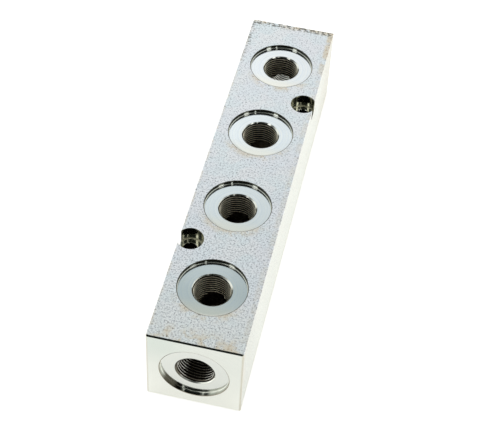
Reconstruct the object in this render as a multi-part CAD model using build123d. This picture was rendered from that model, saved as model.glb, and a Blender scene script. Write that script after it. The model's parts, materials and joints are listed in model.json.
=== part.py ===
from build123d import *

import math
import os

# Hydraulic manifold block: one square steel bar with a lengthwise gallery, four ports along
# the top, a port in each end and two counterbored screw holes that break through the sides.
#
# Frame: millimetres, origin at the middle of the bottom face, +Y along the bar, +Z out of the
# row of top ports.

# The bar
BAR_WIDTH = 40.0
BAR_HEIGHT = 40.0
LONG_EDGE_RADIUS = 0.4
END_CHAMFER = 0.5

# The row of top ports
PORT_COUNT = 4
PORT_PITCH = 46.0
END_MARGIN = 30.0

# One port: a sealing spotface, a lead-in cone and a bore of tap-drill size for a G 3/8 thread
SPOTFACE_DIAMETER = 29.0
SPOTFACE_DEPTH = 1.7
LEAD_IN_DIAMETER = 17.0
LEAD_IN_ANGLE = 90.0
TAP_DRILL = 15.25
END_PORT_DEPTH = 18.0
DRILL_POINT_ANGLE = 118.0

# The gallery that joins the ports
GALLERY_BORE = 14.5

# The two screw holes, for M6 socket-head screws
SCREW_HOLE = 6.6
SCREW_HEAD_BORE = 11.5
SCREW_HEAD_DEPTH = 6.6
SCREW_FROM_SIDE = 4.8
SCREW_SPACING = 2 * PORT_PITCH

BAR_LENGTH = (PORT_COUNT - 1) * PORT_PITCH + 2 * END_MARGIN
GALLERY_HEIGHT = BAR_HEIGHT / 2
TOP_PORT_DEPTH = BAR_HEIGHT - GALLERY_HEIGHT
PORT_PLACES = [(i - (PORT_COUNT - 1) / 2) * PORT_PITCH for i in range(PORT_COUNT)]
CLEAR_OF_FACE = 1.0


def make_bar():
    """The square bar, its milled ends chamfered and its drawn long edges rounded."""
    bar = Pos(0, 0, BAR_HEIGHT / 2) * Box(BAR_WIDTH, BAR_LENGTH, BAR_HEIGHT)
    ends = bar.faces().filter_by(Axis.Y)
    bar = chamfer(ends.edges(), END_CHAMFER)
    return fillet(bar.edges().filter_by(Axis.Y), LONG_EDGE_RADIUS)


def cone_depth(wide, narrow, angle):
    """How far a cone of this full angle runs from one diameter to the other."""
    return (wide - narrow) / 2 / math.tan(math.radians(angle / 2))


def port_cavity(depth):
    """The space one port cuts, with its mouth at the origin, opening towards +Z.

    depth is where the full tap-drill diameter ends, measured from the mouth. The drill's point
    goes on below it.
    """
    lead_in_end = SPOTFACE_DEPTH + cone_depth(LEAD_IN_DIAMETER, TAP_DRILL, LEAD_IN_ANGLE)
    tip = depth + cone_depth(TAP_DRILL, 0, DRILL_POINT_ANGLE)
    outline = Polyline(
        (0, CLEAR_OF_FACE),
        (SPOTFACE_DIAMETER / 2, CLEAR_OF_FACE),
        (SPOTFACE_DIAMETER / 2, -SPOTFACE_DEPTH),
        (LEAD_IN_DIAMETER / 2, -SPOTFACE_DEPTH),
        (TAP_DRILL / 2, -lead_in_end),
        (TAP_DRILL / 2, -depth),
        (0, -tip),
        close=True,
    )
    return revolve(Plane.XZ * make_face(outline), Axis.Z)


def screw_cavity():
    """A stepped hole for one screw, with its head's mouth at the origin, opening towards +Z."""
    head = Cylinder(SCREW_HEAD_BORE / 2, SCREW_HEAD_DEPTH + CLEAR_OF_FACE)
    shank = Cylinder(SCREW_HOLE / 2, BAR_HEIGHT + 2 * CLEAR_OF_FACE)
    head = Pos(0, 0, (CLEAR_OF_FACE - SCREW_HEAD_DEPTH) / 2) * head
    return head + Pos(0, 0, -BAR_HEIGHT / 2) * shank


def gallery():
    """The bore that runs through the bar from end to end."""
    bore = Cylinder(GALLERY_BORE / 2, BAR_LENGTH + 2 * CLEAR_OF_FACE)
    return Pos(0, 0, GALLERY_HEIGHT) * Rot(90, 0, 0) * bore


def cavities():
    """Every space that is cut from the bar."""
    top_port = port_cavity(TOP_PORT_DEPTH)
    cuts = [Pos(0, y, BAR_HEIGHT) * top_port for y in PORT_PLACES]
    end_port = port_cavity(END_PORT_DEPTH)
    cuts += [
        Pos(0, side * BAR_LENGTH / 2, GALLERY_HEIGHT) * Rot(-90 * side, 0, 0) * end_port
        for side in (-1, 1)
    ]
    screw = screw_cavity()
    cuts += [
        Pos(side * (BAR_WIDTH / 2 - SCREW_FROM_SIDE), side * SCREW_SPACING / 2, BAR_HEIGHT) * screw
        for side in (-1, 1)
    ]
    return cuts + [gallery()]


def make_manifold_block():
    """The finished block: the bar less its cavities."""
    block = make_bar()
    for cavity in cavities():
        block -= cavity
    block.label = "manifold_block"
    block.color = Color(0.78, 0.80, 0.81)
    return block


os.makedirs("parts", exist_ok=True)
export_step(make_manifold_block(), "parts/manifold_block.step")
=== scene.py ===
import json
import math

import bmesh
import bpy
from mathutils import Matrix, Vector


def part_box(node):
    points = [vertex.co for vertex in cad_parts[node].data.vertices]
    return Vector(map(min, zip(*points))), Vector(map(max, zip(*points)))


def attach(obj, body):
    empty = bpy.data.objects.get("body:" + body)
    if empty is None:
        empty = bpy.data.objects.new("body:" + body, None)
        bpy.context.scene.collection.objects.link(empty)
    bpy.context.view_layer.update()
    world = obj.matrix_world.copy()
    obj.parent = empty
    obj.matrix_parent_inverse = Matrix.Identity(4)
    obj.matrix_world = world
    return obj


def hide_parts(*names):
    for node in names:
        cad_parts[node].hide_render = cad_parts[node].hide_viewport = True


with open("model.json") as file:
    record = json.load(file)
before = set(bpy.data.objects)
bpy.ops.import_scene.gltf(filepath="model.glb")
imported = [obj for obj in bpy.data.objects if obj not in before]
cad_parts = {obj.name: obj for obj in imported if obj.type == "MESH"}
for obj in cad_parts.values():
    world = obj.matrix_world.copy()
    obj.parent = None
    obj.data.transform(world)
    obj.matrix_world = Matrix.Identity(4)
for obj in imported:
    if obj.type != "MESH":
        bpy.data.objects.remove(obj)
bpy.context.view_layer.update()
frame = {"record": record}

MM = 0.001

# The block as the frame gives it, in metres
block_low, block_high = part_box("manifold_block")
bar_width, bar_length, bar_height = block_high - block_low
half_width, half_length = bar_width / 2, bar_length / 2
top_face = block_high.z
gallery_height = block_low.z + bar_height / 2
seats = [
    (Vector(mount["pos_m"]), Vector(mount["axis"]))
    for mount in frame["record"]["mounts"]
    if mount["kind"] == "threaded_hole"
]
top_port_places = sorted(place.y for place, axis in seats if axis.z > 0.5)
port_pitch = top_port_places[1] - top_port_places[0]
screw_from_side = 4.8 * MM
screw_places = [
    (side * (half_width - screw_from_side), side * port_pitch, top_face)
    for side in (-1, 1)
]

# G 3/8 ports
seat_radius = 14.5 * MM
seat_depth = 1.7 * MM
mouth_radius = 8.5 * MM
tapped_depth = 15.5 * MM
crest_radius = 7.625 * MM
root_radius = 8.331 * MM
thread_pitch = 1.337 * MM
thread_start = seat_depth + 0.1 * MM
end_port_depth = 18 * MM
drill_point_slope = math.radians(31)
gallery_radius = 7.25 * MM

# One pitch of the thread: how far along the axis, and how far out from crest to root
thread_form = (
    (-0.05, 1.0), (0.05, 1.0), (0.11, 0.93), (0.34, 0.03),
    (0.37, 0.0), (0.63, 0.0), (0.66, 0.03), (0.89, 0.93), (0.95, 1.0),
)
thread_steps = 72

# Holes for two M6 screws
screw_radius = 3.3 * MM
screw_head_radius = 5.75 * MM
screw_head_depth = 6.6 * MM
screw_hole_chamfer = 0.2 * MM

# Broken edges
long_edge_radius = 0.4 * MM
end_chamfer = 0.6 * MM
rim_width = 0.40 * MM
rim_drop = 0.20 * MM
seat_corner = 0.28 * MM

overrun = 1.0 * MM
near = 0.01 * MM
same_point = 0.001 * MM


# ---------------------------------------------------------------- bench tools

def put_down():
    """Leaves edit mode with nothing selected."""
    if bpy.context.mode != "OBJECT":
        bpy.ops.object.mode_set(mode="OBJECT")
    bpy.ops.object.select_all(action="DESELECT")


def pick_up(piece):
    """Makes one piece the selected and active one."""
    put_down()
    piece.select_set(True)
    bpy.context.view_layer.objects.active = piece


def work_on(piece, kind="FACE", wanted=None):
    """Opens a piece in edit mode with the wanted faces, edges or vertices selected, or all of them."""
    pick_up(piece)
    bpy.ops.object.mode_set(mode="EDIT")
    bpy.ops.mesh.select_mode(type=kind)
    bpy.ops.mesh.select_all(action="SELECT" if wanted is None else "DESELECT")
    if wanted is not None:
        mesh = bmesh.from_edit_mesh(piece.data)
        parts = {"VERT": mesh.verts, "EDGE": mesh.edges, "FACE": mesh.faces}[kind]
        for part in parts:
            if wanted(part):
                part.select_set(True)
        bmesh.update_edit_mesh(piece.data)


def face_outwards():
    """Turns every face of the piece in hand outwards and puts the piece down."""
    bpy.ops.mesh.select_all(action="SELECT")
    bpy.ops.mesh.normals_make_consistent(inside=False)
    put_down()


def turned(name, outline, segments):
    """A solid of revolution round Z. The outline is (radius, height) from the top down."""
    put_down()
    radius, height = outline[0]
    bpy.ops.mesh.primitive_circle_add(
        vertices=segments, radius=radius, fill_type="NGON", location=(0, 0, height)
    )
    piece = bpy.context.object
    piece.name = name
    bpy.ops.object.transform_apply()
    work_on(piece)
    for next_radius, next_height in outline[1:]:
        step = (0, 0, next_height - height)
        bpy.ops.mesh.extrude_region_move(TRANSFORM_OT_translate={"value": step})
        if next_radius > 0:
            grow = next_radius / radius
            bpy.ops.transform.resize(value=(grow, grow, 1))
        else:
            bpy.ops.mesh.merge(type="CENTER")
        radius, height = next_radius, next_height
    face_outwards()
    return piece


def rim(radius, width, drop):
    """The outline of a cutter where it leaves a flat face: above the face, then round the broken edge."""
    points = [(radius + width + overrun, overrun)]
    for turn in (78, 60, 40, 20, 0):
        angle = math.radians(turn)
        points.append((radius + width * (1 - math.cos(angle)), -drop * (1 - math.sin(angle))))
    return points


def hollow_corner(radius, height, fillet):
    """The outline of the small fillet where a cutter's wall meets its flat floor."""
    points = []
    for turn in (0, 18, 36, 54, 72, 90):
        angle = math.radians(turn)
        points.append((
            radius - fillet * (1 - math.cos(angle)),
            height + fillet * (1 - math.sin(angle)),
        ))
    return points


def tap(name, top, bottom):
    """A threaded plug with a rounded 55 degree thread, right-handed, to cut a threaded wall."""
    put_down()
    bpy.ops.mesh.primitive_plane_add(size=thread_pitch)
    piece = bpy.context.object
    piece.name = name
    start = bottom - thread_pitch
    points = [
        (crest_radius + (root_radius - crest_radius) * out, start + thread_pitch * along)
        for along, out in thread_form
    ]
    work_on(piece, "VERT")
    bpy.ops.mesh.merge(type="CENTER")
    bpy.ops.transform.translate(value=(points[0][0], 0, points[0][1]))
    for (radius, height), (next_radius, next_height) in zip(points, points[1:]):
        step = (next_radius - radius, 0, next_height - height)
        bpy.ops.mesh.extrude_region_move(TRANSFORM_OT_translate={"value": step})
    put_down()
    pick_up(piece)
    turns = piece.modifiers.new("turns", "SCREW")
    turns.screw_offset = thread_pitch
    turns.steps = turns.render_steps = thread_steps
    turns.iterations = math.ceil((top - bottom) / thread_pitch) + 2
    turns.use_merge_vertices = True
    turns.merge_threshold = same_point
    bpy.ops.object.modifier_apply(modifier=turns.name)
    work_on(piece, "VERT")
    bpy.ops.mesh.remove_doubles(threshold=same_point)
    for height, side in ((top, 1), (bottom, -1)):
        bpy.ops.mesh.select_all(action="SELECT")
        bpy.ops.mesh.bisect(
            plane_co=(0, 0, height), plane_no=(0, 0, side),
            use_fill=True, clear_outer=True, threshold=0.1 * same_point,
        )
    face_outwards()
    return piece


def facing_along(axis):
    """The turn that points a piece's +Z along an axis."""
    return Vector(axis).to_track_quat("Z", "Y").to_matrix().to_4x4()


def placed_copy(piece, place, axis):
    """A copy with its own mesh, set at a mouth and turned so that its +Z leaves along the axis."""
    pick_up(piece)
    bpy.ops.object.duplicate()
    copy = bpy.context.object
    copy.matrix_world = Matrix.Translation(place) @ facing_along(axis)
    bpy.ops.object.transform_apply()
    return copy


def cut_away(block, cutter):
    """Cuts one solid from the block and throws the cutter away."""
    pick_up(block)
    cut = block.modifiers.new("cut", "BOOLEAN")
    cut.solver = "MANIFOLD"
    cut.operation = "DIFFERENCE"
    cut.object = cutter
    bpy.ops.object.modifier_apply(modifier=cut.name)
    bpy.data.objects.remove(cutter)


# ---------------------------------------------------------------- the block

def make_bar():
    """The square bar with chamfered ends and rounded long edges."""
    put_down()
    bpy.ops.mesh.primitive_cube_add(
        size=1, location=(block_low + block_high) / 2, scale=(bar_width, bar_length, bar_height)
    )
    bar = bpy.context.object
    bar.name = "ported_bar"
    bpy.ops.object.transform_apply()

    def at_end(edge):
        return abs(edge.verts[0].co.y - edge.verts[1].co.y) < near

    def along_bar(edge):
        return abs(edge.verts[0].co.y - edge.verts[1].co.y) > half_length

    work_on(bar, "EDGE", at_end)
    bpy.ops.mesh.bevel(offset=end_chamfer, offset_type="OFFSET", segments=1, affect="EDGES")
    work_on(bar, "EDGE", along_bar)
    bpy.ops.mesh.bevel(offset=long_edge_radius, offset_type="OFFSET", segments=4, affect="EDGES")
    face_outwards()
    return bar


def port_cutter(depth):
    """The space of one port: seat, lead-in cone, drilled bore and drill point, its mouth at the origin."""
    cone_end = -seat_depth - (mouth_radius - crest_radius)
    outline = rim(seat_radius, rim_width, rim_drop)
    outline += hollow_corner(seat_radius, -seat_depth, seat_corner)
    outline += [
        (mouth_radius, -seat_depth),
        (crest_radius, cone_end),
        (crest_radius, -depth),
        (0, -depth - crest_radius * math.tan(drill_point_slope)),
    ]
    return turned("port_cutter", outline, 128)


def screw_cutter():
    """The space of one counterbored screw hole, its mouth at the origin."""
    outline = rim(screw_head_radius, rim_width / 3, rim_width / 3)
    outline += [
        (screw_head_radius, -screw_head_depth),
        (screw_radius + screw_hole_chamfer, -screw_head_depth),
        (screw_radius, -screw_head_depth - screw_hole_chamfer),
        (screw_radius, -bar_height - overrun),
    ]
    return turned("screw_cutter", outline, 64)


def gallery_cutter():
    """The space of the gallery that joins the ports, from end to end of the bar."""
    reach = half_length + overrun
    return turned("gallery_cutter", [(gallery_radius, reach), (gallery_radius, -reach)], 96)


def mouth_of(place, axis):
    """The middle of a port's mouth, on the face that it opens through."""
    if axis.z > 0.5:
        return Vector((place.x, place.y, top_face))
    return Vector((place.x, axis.y * half_length, place.z))


def make_block():
    """The bar with its six tapped ports, two screw holes and gallery cut out."""
    block = make_bar()
    top_cutter = port_cutter(bar_height - gallery_height)
    end_cutter = port_cutter(end_port_depth)
    plug = tap("tap", -thread_start, -tapped_depth)
    for place, axis in seats:
        mouth = mouth_of(place, axis)
        cut_away(block, placed_copy(top_cutter if axis.z > 0.5 else end_cutter, mouth, axis))
        cut_away(block, placed_copy(plug, mouth, axis))
    drill = screw_cutter()
    for place in screw_places:
        cut_away(block, placed_copy(drill, place, (0, 0, 1)))
    reamer = gallery_cutter()
    cut_away(block, placed_copy(reamer, (0, 0, gallery_height), (0, 1, 0)))
    for tool in (top_cutter, end_cutter, plug, drill, reamer):
        bpy.data.objects.remove(tool)
    return block


# ---------------------------------------------------------------- finishes

class Wiring:
    """Adds nodes to one node tree and links them."""

    def __init__(self, tree):
        self.nodes = tree.nodes
        self.links = tree.links

    def give(self, socket, value):
        """Links what makes the value to the socket, or sets the value on it."""
        if isinstance(value, bpy.types.NodeSocket):
            self.links.new(value, socket)
        else:
            socket.default_value = value

    def node(self, kind, inputs=(), **settings):
        """A new node, with its settings made and its inputs given."""
        made = self.nodes.new("ShaderNode" + kind)
        for key, value in settings.items():
            setattr(made, key, value)
        for key, value in dict(inputs).items():
            self.give(made.inputs[key], value)
        return made

    def math(self, operation, *values, clamp=False):
        made = self.node("Math", dict(enumerate(values)), operation=operation, use_clamp=clamp)
        return made.outputs[0]

    def times(self, first, second):
        return self.math("MULTIPLY", first, second)

    def plus(self, first, second):
        return self.math("ADD", first, second)

    def larger(self, first, second):
        return self.math("MAXIMUM", first, second)

    def mix(self, share, first, second):
        """Colour that goes from the first to the second with the share."""
        made = self.node("Mix", data_type="RGBA")
        for key, value in (("Factor", share), ("A", first), ("B", second)):
            socket = next(i for i in made.inputs if i.name == key and (key == "Factor" or i.type == "RGBA"))
            self.give(socket, (*value, 1) if isinstance(value, tuple) else value)
        return next(o for o in made.outputs if o.type == "RGBA")


class Finish(Wiring):
    """A metal finish, built up node by node. Its tone and roughness are its plain mean values."""

    def __init__(self, name, tone, roughness):
        self.material = bpy.data.materials.new(name)
        self.material.use_nodes = True
        super().__init__(self.material.node_tree)
        self.surface = self.nodes["Principled BSDF"]
        self.surface.inputs["Metallic"].default_value = 1.0
        self.surface.inputs["Roughness"].default_value = roughness
        self.surface.inputs["Base Color"].default_value = (*tone, 1)
        self.material.diffuse_color = (*tone, 1)
        self.where = self.node("TexCoord").outputs["Object"]
        self.x, self.y, self.z = self.node("SeparateXYZ", {0: self.where}).outputs

    def step(self, value, start, end, low=0.0, high=1.0):
        """Runs smoothly from low to high as the value goes from start to end."""
        inputs = {"Value": value, "From Min": start, "From Max": end, "To Min": low, "To Max": high}
        return self.node("MapRange", inputs, interpolation_type="SMOOTHSTEP").outputs["Result"]

    def noise(self, scale, detail, stretch=(1, 1, 1), seed=0.0):
        """Noise whose grains are about 1/scale metres across."""
        mapped = {"Vector": self.where, "Location": (seed, seed, seed), "Scale": stretch}
        place = self.node("Mapping", mapped).outputs[0]
        inputs = {"Vector": place, "Scale": scale, "Detail": detail, "Roughness": 0.6}
        return self.node("TexNoise", inputs).outputs["Fac"]

    def rings(self, radius, per_metre, detail):
        """Uneven rings, as a cutting edge leaves them."""
        inputs = {"W": radius, "Scale": per_metre, "Detail": detail, "Roughness": 0.7}
        return self.node("TexNoise", inputs, noise_dimensions="1D").outputs["Fac"]

    def outwards(self, around):
        """The vector out from the nearest top port's axis, or from the gallery's."""
        if around == "top":
            from_middle = self.math("SUBTRACT", self.y, port_pitch / 2)
            along = self.math("WRAP", from_middle, port_pitch / 2, -port_pitch / 2)
            return self.node("CombineXYZ", {0: self.x, 1: along}).outputs[0]
        height = self.math("SUBTRACT", self.z, gallery_height)
        return self.node("CombineXYZ", {0: self.x, 2: height}).outputs[0]

    def length(self, vector):
        return self.node("VectorMath", {0: vector}, operation="LENGTH").outputs["Value"]

    def absolute(self, value):
        return self.math("ABSOLUTE", value)

    def feed(self, socket, value):
        """Links a pattern to one of the surface's own sockets."""
        self.links.new(value, self.surface.inputs[socket])

    def raise_by(self, height, depth, strength):
        """Fine relief, too fine for the mesh."""
        inputs = {"Height": height, "Distance": depth, "Strength": strength}
        self.feed("Normal", self.node("Bump", inputs).outputs[0])


def stains(f, on_top):
    """The stained zones of the rolled skin, by the seats and the edges, and the patches in them."""
    out = f.outwards("top")
    seat_side = f.node("SeparateXYZ", {0: out}).outputs[1]
    by_seat = f.times(
        f.step(f.length(out), seat_radius + 4.5 * MM, seat_radius + 0.5 * MM),
        f.step(seat_side, -5 * MM, -13 * MM, 0.0, 0.8),
    )
    by_front = f.step(f.y, -half_length + 10 * MM, -half_length + 1 * MM)
    by_right = f.times(
        f.step(f.x, half_width - 3.2 * MM, half_width - 1.6 * MM),
        f.step(f.y, 0.30 * bar_length, 0.44 * bar_length, 0.25, 1.0),
    )
    by_left = f.step(f.x, 1.5 * MM - half_width, 0.3 * MM - half_width, 0.0, 0.4)
    by_back = f.step(f.y, half_length - 4.5 * MM, half_length - 1.0 * MM)
    stained = by_seat
    for mask in (by_front, by_right, by_left, by_back):
        stained = f.larger(stained, mask)
    stained = f.times(stained, f.step(on_top, 0, 1, 0.3, 1.0))
    patches = f.step(f.plus(f.noise(150, 3, seed=5.0), f.times(by_right, 0.10)), 0.42, 0.58)
    return stained, f.times(stained, patches)


def chipped_edges(f, on_top):
    """Small chips in the zinc along the far edge and the far part of the left edge."""
    at_left = f.times(
        f.step(f.x, 2.8 * MM - half_width, 1.2 * MM - half_width, 0.0, 0.7),
        f.step(f.y, 0.3 * bar_length, 0.42 * bar_length),
    )
    at_back = f.step(f.y, half_length - 4.5 * MM, half_length - 2.2 * MM)
    at_corner = f.times(f.larger(at_left, at_back), on_top)
    return f.times(at_corner, f.step(f.noise(700, 2, seed=23.0), 0.50, 0.56))


def rolled_skin():
    """Zinc over the drawn skin of the bar: a dark speckle on pale blue-grey, stained by edges and seats."""
    f = Finish("zinc_rolled_skin", (0.76, 0.81, 0.82), 0.36)
    f.surface.inputs["Metallic"].default_value = 0.6
    on_top = f.step(f.z, top_face - 0.5 * MM, top_face - 0.1 * MM)
    speckle = f.noise(1350, 3)
    grain = f.noise(3600, 3, seed=2.0)

    tone = f.mix(f.step(f.noise(120, 2, seed=7.0), 0.38, 0.62), (0.91, 0.98, 1.0), (0.97, 0.99, 1.0))
    tone = f.mix(f.step(f.noise(45, 2, seed=3.0), 0.4, 0.65, 0.0, 0.5), tone, (0.94, 0.95, 1.0))
    # Painted light: the top's tone turns less blue towards the near end, following how its reflection
    # changes along the bar.
    tone = f.mix(f.step(f.y, -0.3 * bar_length, -half_length, 0.0, 0.6), tone, (0.95, 0.98, 0.94))
    # Painted shade: the sides darken towards both ends of the bar.
    to_end = f.step(f.absolute(f.y), 0.3 * bar_length, half_length)
    sides = f.mix(to_end, (0.91, 0.935, 0.865), (0.80, 0.82, 0.755))
    tone = f.mix(on_top, sides, tone)

    shown = f.step(on_top, 0, 1, 0.5, 1.0)
    both = f.plus(f.times(speckle, 0.75), f.times(grain, 0.25))
    # Painted light: fewer dark specks towards the far end make the top lighter there, following its
    # brighter reflection.
    both = f.plus(both, f.step(f.y, -0.25 * bar_length, 0.2 * bar_length, 0.0, 0.025))
    tone = f.mix(f.times(shown, f.step(both, 0.56, 0.30, 0.0, 0.95)), tone, (0.26, 0.29, 0.32))
    specks = f.step(f.noise(1100, 3, seed=17.0), 0.64, 0.70)
    tone = f.mix(f.times(shown, f.times(specks, 0.7)), tone, (0.14, 0.15, 0.16))

    stained, stain = stains(f, on_top)
    tone = f.mix(f.times(stain, 0.85), tone, (0.84, 0.76, 0.60))
    rust = f.times(stain, f.step(f.noise(1000, 3, seed=2.0), 0.50, 0.62))
    tone = f.mix(f.times(rust, 0.6), tone, (0.50, 0.35, 0.21))
    worn = f.times(stained, 0.05)
    pitted = f.step(f.plus(f.noise(900, 3, seed=11.0), worn), 0.66, 0.70)
    pits = f.larger(chipped_edges(f, on_top), pitted)
    tone = f.mix(f.times(pits, 0.85), tone, (0.10, 0.09, 0.07))

    f.feed("Base Color", tone)
    f.feed("Roughness", f.step(speckle, 0.3, 0.7, 0.44, 0.30))
    height = f.math("SUBTRACT", f.plus(speckle, f.times(grain, 0.5)), pits)
    f.raise_by(height, 0.02 * MM, 0.6)
    return f.material


def milled_end():
    """Zinc over a face-milled end: pale and smooth, with the faint arcs of the mill."""
    f = Finish("zinc_milled_end", (0.70, 0.72, 0.67), 0.18)
    mill_x, mill_z = -30 * MM, -35 * MM
    from_mill = {0: f.math("SUBTRACT", f.x, mill_x), 2: f.math("SUBTRACT", f.z, mill_z)}
    arcs = f.rings(f.length(f.node("CombineXYZ", from_mill).outputs[0]), 1600, 3)
    cloud = f.noise(70, 3, seed=1.0)
    tone = f.mix(f.step(arcs, 0.35, 0.65), (0.65, 0.675, 0.63), (0.70, 0.72, 0.665))
    tone = f.mix(f.step(cloud, 0.35, 0.7, 0.0, 0.35), tone, (0.64, 0.665, 0.61))
    # Painted light: the end face grows lighter towards the bottom, evening out its darker reflection of the
    # shadowed table next to the block.
    tone = f.mix(f.step(f.z, bar_height * 0.8, 0.0), tone, (0.77, 0.78, 0.72))
    high_left = f.times(
        f.step(f.x, 4 * MM, -16 * MM),
        f.step(f.z, 0.5 * bar_height, 0.9 * bar_height),
    )
    tone = f.mix(f.times(high_left, 0.6), tone, (0.56, 0.62, 0.57))
    edge = f.larger(
        f.step(f.absolute(f.x), half_width - 1.2 * MM, half_width - 0.2 * MM),
        f.step(f.z, 1.0 * MM, 0.2 * MM),
    )
    tone = f.mix(f.times(edge, 0.5), tone, (0.50, 0.47, 0.38))
    f.feed("Base Color", tone)
    f.feed("Roughness", f.step(arcs, 0.3, 0.7, 0.14, 0.22))
    f.raise_by(arcs, 0.004 * MM, 0.4)
    return f.material


def turned_floor(around):
    """The floor of a turned seat: bright zinc with fine rings round the port."""
    f = Finish("zinc_seat_floor_" + around, (0.90, 0.92, 0.90), 0.15)
    out = f.outwards(around)
    radius = f.length(out)
    fine = f.rings(radius, 5200, 3)
    broad = f.rings(radius, 800, 2)
    haze = f.noise(260, 3, seed=4.0)
    tone = f.mix(f.step(broad, 0.3, 0.7), (0.88, 0.91, 0.94), (0.97, 0.97, 0.94))
    tone = f.mix(f.step(fine, 0.35, 0.65, 0.25, 0.0), tone, (0.74, 0.77, 0.77))
    tone = f.mix(f.step(haze, 0.45, 0.75, 0.0, 0.3), tone, (0.86, 0.87, 0.82))
    tone = f.mix(f.step(f.noise(110, 2, seed=8.0), 0.42, 0.62, 0.0, 0.3), tone, (0.84, 0.87, 0.89))
    rough = f.step(broad, 0.3, 0.7, 0.11, 0.08)
    if around == "end":
        # Painted shade: the end seats' floors are darkened well below the top seats' floors.
        tone = f.mix(0.7, tone, (0.56, 0.58, 0.52))
    else:
        near_side = f.node("SeparateXYZ", {0: out}).outputs[1]
        # Painted reflection: the near side of each top seat's floor turns warm and bright, and a little
        # rougher towards its outer edge.
        warm_near_reflection = f.step(near_side, -5 * MM, -12 * MM)
        tone = f.mix(f.times(warm_near_reflection, 0.8), tone, (1.0, 0.945, 0.83))
        rough = f.plus(rough, f.times(warm_near_reflection, f.step(radius, 12.2 * MM, 13.4 * MM, 0.0, 0.14)))
    f.feed("Base Color", tone)
    f.feed("Roughness", rough)
    f.surface.inputs["Anisotropic"].default_value = 0.9
    f.feed("Tangent", f.node("VectorMath", {0: out}, operation="NORMALIZE").outputs[0])
    f.raise_by(fine, 0.002 * MM, 0.5)
    return f.material


def turned_wall(around):
    """The wall of a seat and its lead-in cone: nearly a mirror, with painted shade towards the rim and a
    dark line round the rim edge.
    """
    f = Finish("zinc_seat_wall_" + around, (0.76, 0.78, 0.71), 0.10)
    radius = f.length(f.outwards(around))
    if around == "top":
        fine = f.rings(f.z, 5200, 3)
        below = f.math("SUBTRACT", top_face, f.z)
        shade, rim_tone = 0.92, (0.09, 0.08, 0.05)
    else:
        fine = f.rings(f.y, 5200, 3)
        below = f.math("SUBTRACT", half_length, f.absolute(f.y))
        shade, rim_tone = 0.5, (0.30, 0.27, 0.20)
    haze = f.noise(400, 3, seed=4.0)
    tone = f.mix(f.step(fine, 0.35, 0.65), (0.78, 0.80, 0.72), (0.86, 0.88, 0.81))
    tone = f.mix(f.step(haze, 0.45, 0.75, 0.0, 0.5), tone, (0.66, 0.64, 0.54))
    # Painted shade: the wall darkens from low down towards the rim, so that reflected lamps fade upwards.
    tone = f.mix(f.step(below, seat_depth - seat_corner, 0.6 * MM, 0.0, shade), tone, (0.08, 0.09, 0.065))
    at_rim = f.step(radius, seat_radius + 0.01 * MM, seat_radius + 0.06 * MM)
    tone = f.mix(at_rim, tone, rim_tone)
    if around == "end":
        # Painted dark reflection: an upright band of each end seat's wall, about 5 to 14 mm to the -x side,
        # is darkened.
        painted_dark_reflection = f.times(f.step(f.x, -5 * MM, -6.5 * MM), f.step(f.x, -14 * MM, -12 * MM))
        tone = f.mix(f.times(painted_dark_reflection, 0.92), tone, (0.06, 0.05, 0.03))
    f.feed("Base Color", tone)
    at_cone = f.plus(
        f.step(radius, mouth_radius + 0.2 * MM, mouth_radius, 0.0, 0.10),
        f.step(radius, crest_radius + 0.30 * MM, crest_radius + 0.15 * MM, 0.0, 0.35),
    )
    rough = f.plus(f.step(haze, 0.3, 0.7, 0.06, 0.10), f.times(at_rim, 0.35))
    f.feed("Roughness", f.plus(rough, at_cone))
    return f.material


def cut_thread(around):
    """Cut thread: a painted highlight on the crests and painted shade in the roots, with blotches of dark
    dirt.
    """
    f = Finish("zinc_thread_" + around, (0.50, 0.46, 0.38), 0.3)
    f.surface.inputs["Metallic"].default_value = 0.93
    radius = f.length(f.outwards(around))
    grime = f.noise(500, 3, seed=9.0)
    if around == "end":
        # Painted shade: in the near end port the crests go dark where |x| is under about 3 to 5.5 mm.
        # Painted highlight: the bright band reaches further from the crests in the far end port.
        low = f.step(f.absolute(f.x), 5.5 * MM, 3.0 * MM, 0.0, 0.85)
        painted_centre_shade = f.times(low, f.step(f.y, 1 * MM, 0))
        crest = f.mix(painted_centre_shade, (1.0, 1.0, 0.92), (0.10, 0.08, 0.05))
        lit = f.step(f.y, 0, 1 * MM, 0.16 * MM, 0.42 * MM)
        smooth, worn = 0.14, 0.24
    else:
        crest = (1.0, 0.94, 0.74)
        # Painted highlight: in the top ports the bright band reaches further from the crests on the ports'
        # left and right.
        lit = f.step(f.absolute(f.x), 3 * MM, 7 * MM, 0.16 * MM, 0.42 * MM)
        smooth, worn = 0.28, 0.38
    # Painted highlight on the crests, fading to painted shade in the roots.
    to_root = f.step(radius, crest_radius, f.plus(lit, crest_radius))
    tone = f.mix(to_root, crest, (0.020, 0.015, 0.008))
    tone = f.mix(f.step(grime, 0.45, 0.75, 0.0, 0.3), tone, (0.07, 0.05, 0.03))
    f.feed("Base Color", tone)
    f.feed("Roughness", f.step(grime, 0.3, 0.7, smooth, worn))
    f.raise_by(f.noise(3000, 2), 0.002 * MM, 0.3)
    return f.material


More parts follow.
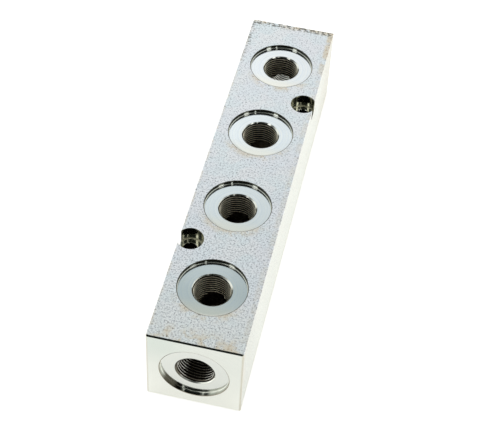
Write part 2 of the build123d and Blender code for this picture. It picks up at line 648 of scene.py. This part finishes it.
def counterbore():
    """Counterbored steel under thin zinc, olive-grey, with painted shade below its shoulder and a painted
    highlight round its foot.
    """
    f = Finish("zinc_counterbore", (0.62, 0.62, 0.52), 0.12)
    streaks = f.noise(900, 3, stretch=(1, 1, 0.12))
    tone = f.mix(f.step(streaks, 0.35, 0.65), (0.50, 0.50, 0.40), (0.70, 0.70, 0.60))
    shoulder = top_face - screw_head_depth
    # Painted shade: below the shoulder, down the through hole, the tone is darkened.
    tone = f.mix(f.step(f.z, shoulder - 0.1 * MM, shoulder - 0.5 * MM), tone, (0.17, 0.155, 0.10))
    side = f.math("SIGN", f.y)
    screw_x, screw_y = screw_places[1][:2]
    across = f.math("SUBTRACT", f.times(f.x, side), screw_x)
    along = f.math("SUBTRACT", f.times(f.y, side), screw_y)
    radius = f.length(f.node("CombineXYZ", {0: across, 1: along}).outputs[0])
    # Painted highlight: a bright, rougher line round the foot of the counterbore's wall, where it meets the
    # shoulder.
    foot_highlight = f.times(
        f.step(f.absolute(f.math("SUBTRACT", f.z, shoulder)), 0.6 * MM, 0.2 * MM, 0.0, 0.8),
        f.step(radius, screw_head_radius - 0.8 * MM, screw_head_radius - 0.3 * MM),
    )
    f.feed("Base Color", f.mix(foot_highlight, tone, (0.96, 0.94, 0.78)))
    f.feed("Roughness", f.plus(f.step(streaks, 0.3, 0.7, 0.18, 0.10), f.times(foot_highlight, 0.35)))
    f.raise_by(streaks, 0.006 * MM, 0.4)
    return f.material


def drilled_bore():
    """Drilled steel inside the bar, with little zinc and much oil."""
    f = Finish("drilled_bore", (0.30, 0.27, 0.21), 0.35)
    feed_marks = f.noise(1400, 3, stretch=(0.4, 1, 0.4))
    tone = f.mix(f.step(feed_marks, 0.35, 0.65), (0.20, 0.17, 0.12), (0.38, 0.35, 0.29))
    f.feed("Base Color", tone)
    f.feed("Roughness", f.step(feed_marks, 0.3, 0.7, 0.28, 0.45))
    f.raise_by(feed_marks, 0.02 * MM, 0.5)
    return f.material


def broken_edge():
    """The chamfers of the ends: bright across the top and bottom, duller on the upright ones."""
    f = Finish("zinc_end_chamfer", (0.80, 0.81, 0.77), 0.08)
    nicks = f.noise(700, 3)
    tone = f.mix(f.step(nicks, 0.4, 0.7), (0.66, 0.67, 0.63), (0.55, 0.54, 0.49))
    inner = half_width - end_chamfer
    upright = f.step(f.absolute(f.x), inner - 0.1 * MM, inner + 0.1 * MM, 0.0, 0.6)
    f.feed("Base Color", f.mix(upright, tone, (0.50, 0.47, 0.36)))
    f.feed("Roughness", f.step(nicks, 0.4, 0.7, 0.05, 0.10))
    return f.material


def paint(block):
    """Gives each face its finish by where it lies."""
    finishes = {
        "rolled": rolled_skin(),
        "milled": milled_end(),
        "edge": broken_edge(),
        "floor": turned_floor("top"),
        "end_floor": turned_floor("end"),
        "wall": turned_wall("top"),
        "end_wall": turned_wall("end"),
        "counterbore": counterbore(),
        "thread": cut_thread("top"),
        "end_thread": cut_thread("end"),
        "bore": drilled_bore(),
    }
    block.data.materials.clear()
    for finish in finishes.values():
        block.data.materials.append(finish)
    slots = {name: index for index, name in enumerate(finishes)}
    mouths = [(mouth_of(place, axis), axis) for place, axis in seats]
    deepest_cut = end_port_depth + 5 * MM

    def on_cone(below, radius):
        return abs(below - seat_depth - (mouth_radius - radius)) < near

    def in_port(points):
        """The finish of a face that lies in one of the ports, or None."""
        for mouth, axis in mouths:
            which = "" if axis.z > 0.5 else "end_"
            below = [(mouth - p).dot(axis) for p in points]
            radii = [(p - mouth - axis * (p - mouth).dot(axis)).length for p in points]
            if max(radii) > seat_radius + rim_width + near or min(below) < -near or max(below) < near:
                continue
            if min(below) > seat_depth - near and max(below) < seat_depth + near:
                return which + "floor"
            if max(below) < seat_depth + near or all(map(on_cone, below, radii)):
                return which + "wall"
            if max(radii) < mouth_radius + near and max(below) < deepest_cut:
                return which + "thread" if min(radii) > crest_radius - 0.1 * MM else "bore"
        return None

    def in_screw_hole(points):
        """Whether a face lies in one of the screw holes, below the top."""
        return any(
            all(math.hypot(p.x - x, p.y - y) < screw_head_radius + rim_width + near for p in points)
            and min(p.z for p in points) < top - near
            for x, y, top in screw_places
        )

    def kind(points):
        """The finish of a face, from where its corners lie."""
        if all(abs(math.hypot(p.x, p.z - gallery_height) - gallery_radius) < near for p in points):
            return "bore"
        port_finish = in_port(points)
        if port_finish:
            return port_finish
        if all(abs(p.y) > half_length - near for p in points):
            return "milled"
        if all(abs(p.y) > half_length - end_chamfer - near for p in points):
            return "edge"
        return "counterbore" if in_screw_hole(points) else "rolled"

    for face in block.data.polygons:
        face.material_index = slots[kind([block.data.vertices[i].co for i in face.vertices])]


def finish_block(block):
    """Smooth where it is turned, flat where it is milled."""
    pick_up(block)
    bpy.ops.object.shade_smooth_by_angle(angle=math.radians(40))
    names = [slot.name for slot in block.data.materials]
    milled = ("zinc_end_chamfer", "zinc_milled_end")
    work_on(block, "FACE", lambda face: names[face.material_index] in milled)
    bpy.ops.mesh.faces_shade_flat()
    pick_up(block)
    weigh = block.modifiers.new("flat_faces_first", "WEIGHTED_NORMAL")
    weigh.keep_sharp = True
    bpy.ops.object.modifier_apply(modifier=weigh.name)
    put_down()


# ---------------------------------------------------------------- the studio

camera_azimuth = 9.92
camera_elevation = 48.79
camera_distance = 592.2 * MM
camera_roll = 3.61
camera_aim = Vector((3.79, -11.18, 20.0)) * MM
camera_focal_length = 95.24

table_radius = 4
table_glow = 0.55

# Brightness of the room by height, from the horizon at 0 to straight up at 1
sky_by_height = (
    (0.00, (1.0, 1.0, 0.97)),
    (0.60, (1.0, 1.03, 1.04)),
    (0.68, (1.0, 1.05, 1.08)),
    (0.71, (0.93, 1.0, 1.03)),
    (0.75, (0.73, 0.80, 0.82)),
    (0.79, (0.44, 0.52, 0.53)),
    (0.86, (0.38, 0.43, 0.43)),
    (0.90, (0.42, 0.46, 0.46)),
    (0.96, (0.74, 0.77, 0.77)),
    (1.00, (0.80, 0.82, 0.82)),
)
# How dark the high part of the room is, by side (1 is the dark side, near the camera's) and by height
dark_by_side = (
    (0.0, 0.0), (0.01, 0.25), (0.045, 0.45), (0.095, 0.62), (0.165, 0.74), (0.25, 0.83),
    (0.35, 0.885), (0.45, 0.925), (0.55, 0.935), (0.8, 0.985), (1.0, 0.995),
)
dark_by_height = ((0.0, 0.0), (0.38, 0.0), (0.52, 1.0), (0.93, 1.0), (1.0, 0.6))
# The same for the narrow dark screen in the middle of the dark side
screen_by_side = ((0.0, 0.0), (0.90, 0.0), (0.96, 1.0), (1.0, 1.0))
screen_by_height = ((0.0, 0.6), (0.04, 0.98), (0.20, 0.98), (0.30, 0.75), (0.60, 0.75), (0.93, 0.0))
dark_side_azimuth = camera_azimuth + 6


def direction(azimuth, elevation):
    """A unit vector. Azimuth runs in degrees from -Y towards +X."""
    a, e = math.radians(azimuth), math.radians(elevation)
    return Vector((math.sin(a) * math.cos(e), -math.cos(a) * math.cos(e), math.sin(e)))


def make_camera():
    """A long lens that looks down on the near end."""
    lens = bpy.data.cameras.new("camera")
    lens.sensor_width = 36
    lens.lens = camera_focal_length
    camera = bpy.data.objects.new("camera", lens)
    bpy.context.scene.collection.objects.link(camera)
    back = direction(camera_azimuth, camera_elevation)
    camera.matrix_world = (
        Matrix.Translation(camera_aim + back * camera_distance)
        @ facing_along(back)
        @ Matrix.Rotation(math.radians(camera_roll), 4, "Z")
    )
    bpy.context.scene.camera = camera


def make_floor():
    """A white table that glows for the camera and in reflections, and still takes the shadow."""
    put_down()
    bpy.ops.mesh.primitive_circle_add(
        vertices=96, radius=table_radius, fill_type="NGON", location=(0, 0, block_low.z)
    )
    floor = bpy.context.object
    floor.name = "table"
    bpy.ops.object.transform_apply()
    white = bpy.data.materials.new("white_table")
    white.use_nodes = True
    w = Wiring(white.node_tree)
    w.nodes.remove(w.nodes["Principled BSDF"])
    path = w.node("LightPath").outputs
    seen = w.plus(path["Is Camera Ray"], path["Is Glossy Ray"])
    seen = w.plus(seen, path["Is Transmission Ray"])
    strength = w.math("MULTIPLY", seen, table_glow, clamp=True)
    glow = w.node("Emission", {"Color": (1.0, 1.0, 0.97, 1), "Strength": strength})
    cloth = w.node("BsdfDiffuse", {"Color": (0.7, 0.7, 0.7, 1)})
    both = w.node("AddShader", {0: cloth.outputs[0], 1: glow.outputs[0]})
    w.give(w.nodes["Material Output"].inputs["Surface"], both.outputs[0])
    floor.data.materials.append(white)


def make_surround():
    """A white room whose camera side is dark between the table and the ceiling."""
    world = bpy.data.worlds.new("surround")
    bpy.context.scene.world = world
    world.use_nodes = True
    w = Wiring(world.node_tree)

    def ramp(value, stops):
        made = w.node("ValToRGB", {0: value})
        points = made.color_ramp.elements
        while len(points) < len(stops):
            points.new(0.5)
        for point, (place, level) in zip(points, stops):
            point.position = place
            point.color = (*level, 1) if isinstance(level, tuple) else (level, level, level, 1)
        return made.outputs["Color"]

    look = w.node("TexCoord").outputs["Generated"]
    x, y, z = w.node("SeparateXYZ", {0: look}).outputs
    flat = w.math("SQRT", w.plus(w.times(x, x), w.times(y, y)))
    towards = direction(dark_side_azimuth, 0)
    facing = w.plus(w.times(x, towards.x), w.times(y, towards.y))
    facing = w.math("DIVIDE", facing, w.larger(flat, 0.001))
    facing = w.math("MULTIPLY_ADD", facing, 0.5, 0.5)
    dark = w.larger(
        w.times(ramp(facing, dark_by_side), ramp(z, dark_by_height)),
        w.times(ramp(facing, screen_by_side), ramp(z, screen_by_height)),
    )
    room = w.mix(dark, ramp(z, sky_by_height), (0.001, 0.004, 0.002))

    path = w.node("LightPath").outputs
    plain = w.node("Background", {"Color": (0.95, 0.95, 0.95, 1)})
    mirrored = w.node("Background", {"Color": room})
    white = w.node("Background", {"Color": (1, 1, 1, 1)})
    shiny = w.larger(path["Is Glossy Ray"], path["Is Transmission Ray"])
    lighting = w.node("MixShader", {0: shiny, 1: plain.outputs[0], 2: mirrored.outputs[0]})
    shown = w.node("MixShader", {0: path["Is Camera Ray"], 1: lighting.outputs[0], 2: white.outputs[0]})
    w.give(w.nodes["World Output"].inputs["Surface"], shown.outputs[0])


def make_lamp(name, place, width, height, radiance):
    """A rectangular lamp aimed at the block. Its power follows from how bright its face is."""
    lamp = bpy.data.lights.new(name, "AREA")
    lamp.shape = "RECTANGLE"
    lamp.size, lamp.size_y = width, height
    lamp.energy = radiance * math.pi * width * height
    placed = bpy.data.objects.new(name, lamp)
    bpy.context.scene.collection.objects.link(placed)
    placed.matrix_world = Matrix.Translation(place) @ facing_along(place)


def light_the_set():
    """Two soft lamps beside the block and a tall one far off in front."""
    make_lamp("right_lamp", (0.413, -0.144, 0.44), 0.13, 0.13, 1.6)
    make_lamp("left_lamp", (-0.315, -0.317, 0.45), 0.13, 0.16, 1.6)
    make_lamp("far_lamp", (0.701, -1.049, 1.25), 0.08, 0.5, 1.5)


make_camera()
block = make_block()
paint(block)
finish_block(block)
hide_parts("manifold_block")
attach(block, "root")
make_floor()
make_surround()
light_the_set()

bpy.context.scene.view_settings.view_transform = "Standard"
